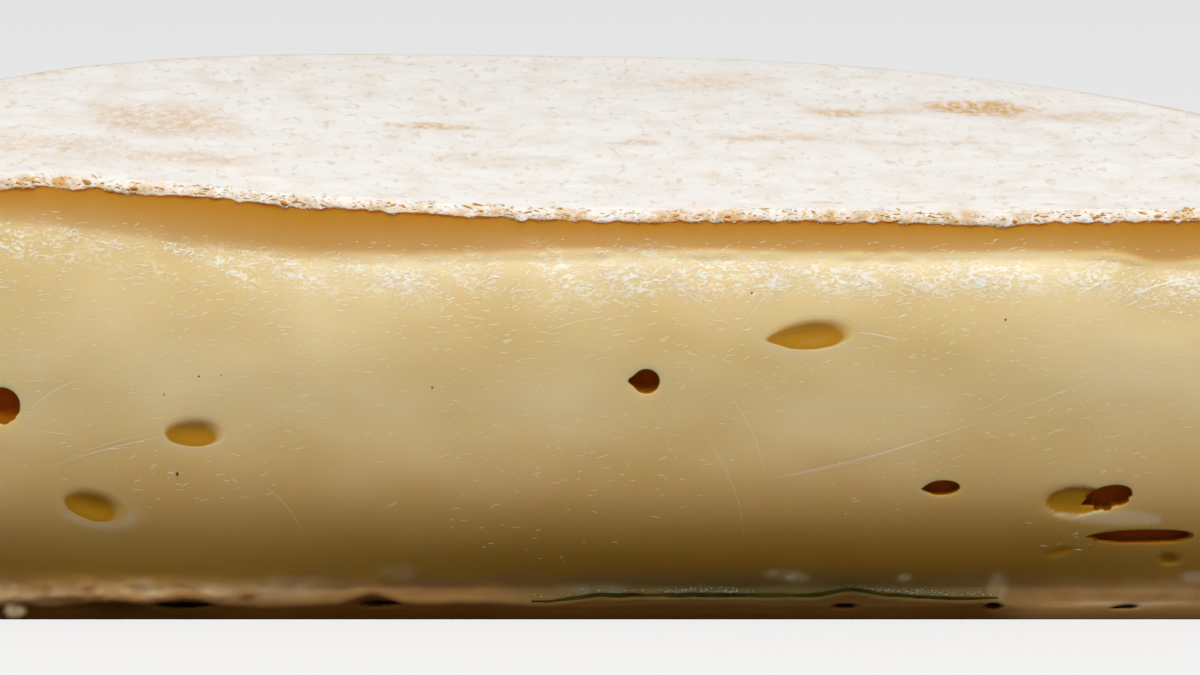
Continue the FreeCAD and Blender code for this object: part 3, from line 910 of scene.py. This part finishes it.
def make_knife_marks():
    """Flecks of fat over the whole cut, flakes crowded under the shoulder, and long scratches."""
    # The flecks, flakes and scratches are pale fat; their near-white tint partly stands in for glints, as
    # painted highlights.
    hairs = fat_and_painted_glints("fat_hairs_and_painted_glints", "#f8e6b8", "#fff4d6")
    reach = RADIUS - 4.0
    draw = np.random.default_rng(201)
    x = draw.uniform(-reach, reach, FLECK_TRIES)
    z = draw.uniform(4.5, TOP - 2.5, len(x))
    crowd = 0.3 + 0.35 * noise(x, z, 7.0, 202) + 0.55 * (z - 16.0) / 12.0
    keep = (draw.uniform(0.0, 1.0, len(x)) < crowd) & (z < ledge_line(x) + 1.2) & ~in_an_eye(x, z)
    x, z = x[keep], z[keep]
    starts, ends = fleck_lines(draw, x, z, 0.45, 6.0, 12.0)
    widths = draw.uniform(0.045, 0.1, len(x))
    pieces = [ridges("knife_flecks", starts, ends, 0.0 * x, widths, 0.22 * widths, hairs)]

    draw = np.random.default_rng(203)
    x = draw.uniform(-reach, reach, FLAKE_TRIES)
    crisp = 1.0 - softness(x)
    scatter_z = 0.5 + 0.35 * crisp + 0.9 * hump(x, -2.0, 18.0)
    z = ledge_line(x) - draw.normal(0.3 + 1.6 * crisp, scatter_z, len(x))
    crowd = 0.1 + 0.8 * noise(x + 1.5 * z, z, 2.2, 204) + 0.5 * noise(x, z, 0.7, 206) + 0.2 * crisp
    keep = (draw.uniform(0.0, 1.0, len(x)) < crowd) & (z < ledge_line(x) + 0.1) & ~in_an_eye(x, z)
    x, z = x[keep], z[keep]
    lean = 12.0 + 16.0 * noise(x, z, 3.0, 205)
    starts, ends = fleck_lines(draw, x, z, 0.34, lean, 28.0)
    widths = draw.uniform(0.03, 0.085, len(x))
    bows = draw.uniform(-0.1, 0.1, len(x))
    flakes = fat_and_painted_glints("fat_flakes_and_painted_glints", "#fcedc8", "#fff9ea")
    pieces.append(ridges("shoulder_flakes", starts, ends, bows, widths, 0.18 * widths, flakes))

    lines = np.array(SCRATCHES)
    starts, ends, bows = lines[:, :2], lines[:, 2:4], lines[:, 4]
    widths = 0.8 * lines[:, 5]
    pieces.append(ridges("scratches", starts, ends, bows, widths, 0.12 * widths + 0.014, flakes))
    return pieces


# Dark specks stuck to the cut: x, z
SPECKS = (
    (-33.9, 13.2), (-34.8, 19.8), (-30.2, 21.4), (-32.0, 21.3), (-13.4, 20.4), (-8.2, 30.3),
    (12.1, 27.8), (32.3, 25.8), (-18.5, 28.4), (-51.5, 22.0), (55.0, 12.5),
)


def make_specks():
    """A few dark specks from the board or the rind."""
    x, z = np.array(SPECKS).T
    places = np.stack([x, front_y(x, z), z], -1)
    sizes = 0.08 * np.random.default_rng(211).lognormal(0.0, 0.3, len(x))
    sizes[0] = 0.16
    material = crumb("dark_specks", "#4a4a20", "#6b5a2a")
    return scatter("dark_specks", places, sizes, (0.8, 0.4, 1.1), 212, material)


# ---------------------------------------------------------------- materials


def linear(hex_colour):
    """An sRGB hex colour as linear RGBA."""
    channels = [int(hex_colour[i : i + 2], 16) / 255.0 for i in (1, 3, 5)]
    curve = [c / 12.92 if c <= 0.04045 else ((c + 0.055) / 1.055) ** 2.4 for c in channels]
    return (*curve, 1.0)


def node(tree, kind, settings=None, links=None):
    """Adds a node: settings fill its properties or sockets, and links join sockets to other nodes."""
    made = tree.nodes.new(kind)
    for name, value in (settings or {}).items():
        if isinstance(name, str) and hasattr(made, name):
            setattr(made, name, value)
        else:
            made.inputs[name].default_value = value
    for name, source in (links or {}).items():
        tree.links.new(made.inputs[name], source)
    return made


def new_material(name, settings):
    """An empty node material with its shader, set to what is the same all over the surface."""
    material = bpy.data.materials.new(name)
    material.use_nodes = True
    tree = material.node_tree
    tree.nodes.clear()
    shader = node(tree, "ShaderNodeBsdfPrincipled", settings)
    node(tree, "ShaderNodeOutputMaterial", links={"Surface": shader.outputs[0]})
    return material, tree, shader


def grain(tree, size, stretch=(1, 1, 1), detail=2.0, distortion=0.0, turn=0.0, limits=None):
    """Noise whose features are about this many millimetres across, stretched along its axes.

    With limits, a range of its values is drawn out to 0 and 1, or to the two last limits.
    """
    where = node(tree, "ShaderNodeTexCoord").outputs["Object"]
    scale = [1.0 / (size * MM * s) for s in stretch]
    settings = {"Scale": scale, "Rotation": (0.0, turn, 0.0)}
    warped = node(tree, "ShaderNodeMapping", settings, {"Vector": where}).outputs[0]
    settings = {"Scale": 1.0, "Detail": detail, "Distortion": distortion}
    value = node(tree, "ShaderNodeTexNoise", settings, {"Vector": warped}).outputs[0]
    if limits:
        value = node(tree, "ShaderNodeMapRange", dict(enumerate(limits, 1)), {0: value}).outputs[0]
    return value


def layered(tree, colour, layers):
    """A colour with tints laid over it one after the other, each as far as its share goes."""
    for share, over in layers:
        settings = {"data_type": "RGBA", 7: linear(over)}
        links = {0: share}
        if isinstance(colour, str):
            settings[6] = linear(colour)
        else:
            links[6] = colour
        colour = node(tree, "ShaderNodeMix", settings, links).outputs[2]
    return colour


def finish(tree, shader, colour, height, depth, strength):
    """Gives a shader its colour, and a relief whose full depth is in millimetres."""
    settings = {"Strength": strength, "Distance": depth * MM}
    relief = node(tree, "ShaderNodeBump", settings, {"Height": height}).outputs[0]
    tree.links.new(shader.inputs["Base Color"], colour)
    tree.links.new(shader.inputs["Normal"], relief)


def ripe_paste():
    """Ripe cheese paste cut by a wire or knife: translucent, fatty and moist.

    Light goes a few millimetres into it, so it glows amber in thin and hidden places, and the
    film of fat on the cut gives it small wet glints. The amber glow and the shade in its eyes and hollows,
    the shade low on the cut and white highlights on the crinkles under the shoulder are also painted
    into its colour.
    """
    settings = {
        "Subsurface Weight": 1.0,
        "Subsurface Radius": (1.0, 0.65, 0.3),
        "Subsurface Scale": 1.6 * MM,
        "Roughness": 0.4,
        "IOR": 1.45,
        "Specular IOR Level": 0.0,
        "Coat Roughness": 0.25,
    }
    material, tree, shader = new_material("ripe_paste", settings)
    where = node(tree, "ShaderNodeTexCoord").outputs["Object"]
    height = node(tree, "ShaderNodeSeparateXYZ", links={0: where}).outputs[2]
    # Deeper amber towards the bottom of the cut: partly the riper paste by the lower rind, partly painted
    # shade.
    riper_and_shaded_low = node(tree, "ShaderNodeMapRange", {1: 19.0 * MM, 2: 4.0 * MM}, {0: height}).outputs[0]
    cloud = grain(tree, 9.0, (1.6, 1, 1), limits=(0.3, 0.7))
    layers = [(cloud, "#f1ddae"), (riper_and_shaded_low, "#e2b258")]

    # Partly the paste's own stains, partly painted light: the shade tint is painted shade, the toe and
    # brown tints are partly painted shade, the slit tint is a painted shadow, and the pale tint partly
    # painted highlights round eye rims.
    stains_and_painted_light = (("shade", "#b08432"), ("orange", "#d99c34"), ("toe", "#ad8450"), ("brown", "#50300f"),
              ("green", "#665e36"), ("pale", "#e2cfa4"), ("slit", "#1c0d04"))
    masks = {}
    for name in [stain for stain, _ in stains_and_painted_light] + ["hollow", "belt"]:
        masks[name] = node(tree, "ShaderNodeAttribute", {"attribute_name": name}).outputs["Fac"]
    layers += [(masks[name], tone) for name, tone in stains_and_painted_light]
    # Painted shade and painted amber glow inside the eyes and soft hollows: darker amber deeper in, then
    # bright orange at the bottom.
    for low, high, tone in ((0.0, 0.5, "#bc881c"), (0.6, 0.75, "#8c4a08"), (0.8, 1.0, "#ea8414")):
        inside = node(tree, "ShaderNodeMapRange", {1: low, 2: high}, {0: masks["hollow"]})
        layers.append((inside.outputs[0], tone))

    # The drag of the knife crinkles the fat under the shoulder, and painted highlights whiten the crinkles'
    # crests
    crinkle = grain(tree, 0.4, (1.8, 1, 0.8), 4.0, 1.2, turn=-0.5)
    crests = node(tree, "ShaderNodeMapRange", {1: 0.48, 2: 0.6}, {0: crinkle}).outputs[0]
    times = {"operation": "MULTIPLY"}
    painted_glints = node(tree, "ShaderNodeMath", times, {0: crests, 1: masks["belt"]}).outputs[0]
    raised = node(tree, "ShaderNodeMath", times, {0: crinkle, 1: masks["belt"]}).outputs[0]
    layers.append((painted_glints, "#fffaf0"))

    # The film of fat is thickest near the shoulder, and the paste right under the rind has none
    film = node(tree, "ShaderNodeMapRange", {1: 6.0 * MM, 2: 27.0 * MM, 4: 0.35}, {0: height}).outputs[0]
    clear = {"operation": "SUBTRACT", 0: 1.0}
    clear = node(tree, "ShaderNodeMath", clear, {1: masks["orange"]}).outputs[0]
    wet = node(tree, "ShaderNodeMath", times, {0: film, 1: clear}).outputs[0]
    tree.links.new(shader.inputs["Coat Weight"], wet)
    finish(tree, shader, layered(tree, "#e4ca8e", layers), raised, 0.12, 1.0)
    return material


def fat_and_painted_glints(name, dark, light):
    """Fat that the knife drew up into hairs and flakes: waxy, pale, with small wet glints; its near-white
    paleness partly stands in for glints, as a painted highlight.
    """
    settings = {"Roughness": 0.28, "Specular IOR Level": 0.6, "Coat Weight": 0.7, "Coat Roughness": 0.2}
    material, tree, shader = new_material(name, settings)
    colour = layered(tree, dark, [(grain(tree, 0.4), light)])
    finish(tree, shader, colour, grain(tree, 0.1), 0.01, 0.5)
    return material


def bloomed_rind():
    """Washed rind under a white bloom of mould: dry, powdery and matt."""
    settings = {"Roughness": 0.95, "Specular IOR Level": 0.2, "Sheen Weight": 0.15}
    material, tree, shader = new_material("bloomed_rind", settings)
    blotch = grain(tree, 2.6, (1.3, 2.4, 1), 6.0, limits=(0.45, 0.7, 0.0, 0.42))
    dashes = grain(tree, 0.6, (1.5, 3.0, 1), 4.0, 0.6, limits=(0.58, 0.68, 0.0, 0.5))
    worn = grain(tree, 0.5, (1.4, 2.6, 1), 4.0, 0.6, limits=(0.35, 0.6, 0.25, 1.25))
    bare = node(tree, "ShaderNodeAttribute", {"attribute_name": "bare"}).outputs["Fac"]
    bare = node(tree, "ShaderNodeMath", {"operation": "MULTIPLY"}, {0: bare, 1: worn}).outputs[0]
    colour = layered(tree, "#f8f4ee", [(blotch, "#ebd8c2"), (dashes, "#dcc4a4"), (bare, "#dcae6c")])
    finish(tree, shader, colour, grain(tree, 0.45, detail=4.0), 0.09, 0.8)
    return material


def green_casein():
    """Casein pressed thin and dyed dark green: hard, and dulled by the bloom that dried on it."""
    settings = {"Roughness": 0.8, "Specular IOR Level": 0.0}
    material, tree, shader = new_material("green_casein", settings)
    cloud = grain(tree, 1.2, (2, 1, 1), 3.0, limits=(0.35, 0.65))
    colour = layered(tree, "#2a2408", [(cloud, "#463e14")])
    finish(tree, shader, colour, grain(tree, 0.3), 0.03, 0.6)
    return material


def crumb(name, dark, light):
    """Torn rind: dry grains between two tints."""
    settings = {
        "Roughness": 0.75,
        "Specular IOR Level": 0.1,
        "Subsurface Weight": 0.8,
        "Subsurface Radius": (1.0, 0.6, 0.3),
        "Subsurface Scale": 0.3 * MM,
    }
    material, tree, shader = new_material(name, settings)
    share = node(tree, "ShaderNodeAttribute", {"attribute_name": "tint"}).outputs["Fac"]
    finish(tree, shader, layered(tree, dark, [(share, light)]), grain(tree, 0.12), 0.02, 0.6)
    return material


# ---------------------------------------------------------------- stage, light and camera


def seen_share(tree, kinds):
    """1 for these kinds of ray, and 0 for the light that falls on the cheese."""
    path = node(tree, "ShaderNodeLightPath").outputs
    share = path[kinds[0]]
    for kind in kinds[1:]:
        links = {0: share, 1: path[kind]}
        share = node(tree, "ShaderNodeMath", {"operation": "MAXIMUM"}, links).outputs[0]
    return share


def make_floor():
    """A plain pale floor that sends little light back up into the cheese."""
    mesh = bpy.data.meshes.new("floor")
    corners = [(x * FLOOR_REACH, y * FLOOR_REACH, 0) for x, y in ((-1, -1), (1, -1), (1, 1), (-1, 1))]
    mesh.from_pydata(corners, [], [(0, 1, 2, 3)])
    floor = bpy.data.objects.new("floor", mesh)
    bpy.context.scene.collection.objects.link(floor)
    settings = {"Emission Color": linear("#fafafa"), "Roughness": 0.9, "Specular IOR Level": 0.1}
    material, tree, shader = new_material("pale_floor", settings)
    seen = seen_share(tree, ("Is Camera Ray", "Is Glossy Ray", "Is Transmission Ray"))
    glow = node(tree, "ShaderNodeMath", {"operation": "MULTIPLY", 1: 0.6}, {0: seen}).outputs[0]
    tree.links.new(shader.inputs["Base Color"], layered(tree, "#4a4642", [(seen, "#9a9a9a")]))
    tree.links.new(shader.inputs["Emission Strength"], glow)
    mesh.materials.append(material)


def hang(lamp, elevation):
    """Hangs a lamp in front of the cut at this elevation, turned to the middle of the cheese."""
    turn = math.radians(elevation)
    lamp.location = (0.0, -LAMP_AWAY * math.cos(turn), LAMP_AWAY * math.sin(turn))
    lamp.rotation_euler = (math.radians(90.0) - turn, 0.0, 0.0)
    bpy.context.scene.collection.objects.link(lamp)


def make_lights():
    """A softbox high in front, a weak wide one low in front, and a dim even surround."""
    for name, elevation, size, energy in LAMPS:
        light = bpy.data.lights.new(name, "AREA")
        light.shape = "RECTANGLE"
        light.size, light.size_y = size
        light.energy = energy
        hang(bpy.data.objects.new(name, light), elevation)

    world = bpy.data.worlds.new("surround")
    bpy.context.scene.world = world
    world.use_nodes = True
    tree = world.node_tree
    tree.nodes.clear()
    seen = seen_share(tree, ("Is Camera Ray", "Is Transmission Ray"))
    colour = layered(tree, "#8c8c8c", [(seen, "#e4e4e4")])
    background = node(tree, "ShaderNodeBackground", links={"Color": colour})
    node(tree, "ShaderNodeOutputWorld", links={"Surface": background.outputs[0]})


def make_camera():
    """A long lens, close, looking a little down at the cut."""
    camera = bpy.data.objects.new("camera", bpy.data.cameras.new("camera"))
    camera.data.sensor_width = 36.0
    camera.data.lens = CAMERA_LENS
    camera.data.clip_start = 0.01
    camera.location = (0.0, (CUT_Y - CAMERA_AWAY) * MM, CAMERA_HEIGHT * MM)
    camera.rotation_euler = (math.radians(90.0 - CAMERA_DOWN), 0.0, 0.0)
    bpy.context.scene.collection.objects.link(camera)
    bpy.context.scene.camera = camera


def main():
    pieces = [make_half_cheese(), make_plaque(), *make_crumbs(), *make_knife_marks(), make_specks()]
    for piece in pieces:
        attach(piece, "root")
    make_floor()
    make_lights()
    make_camera()
    bpy.context.scene.view_settings.view_transform = "Standard"


main()
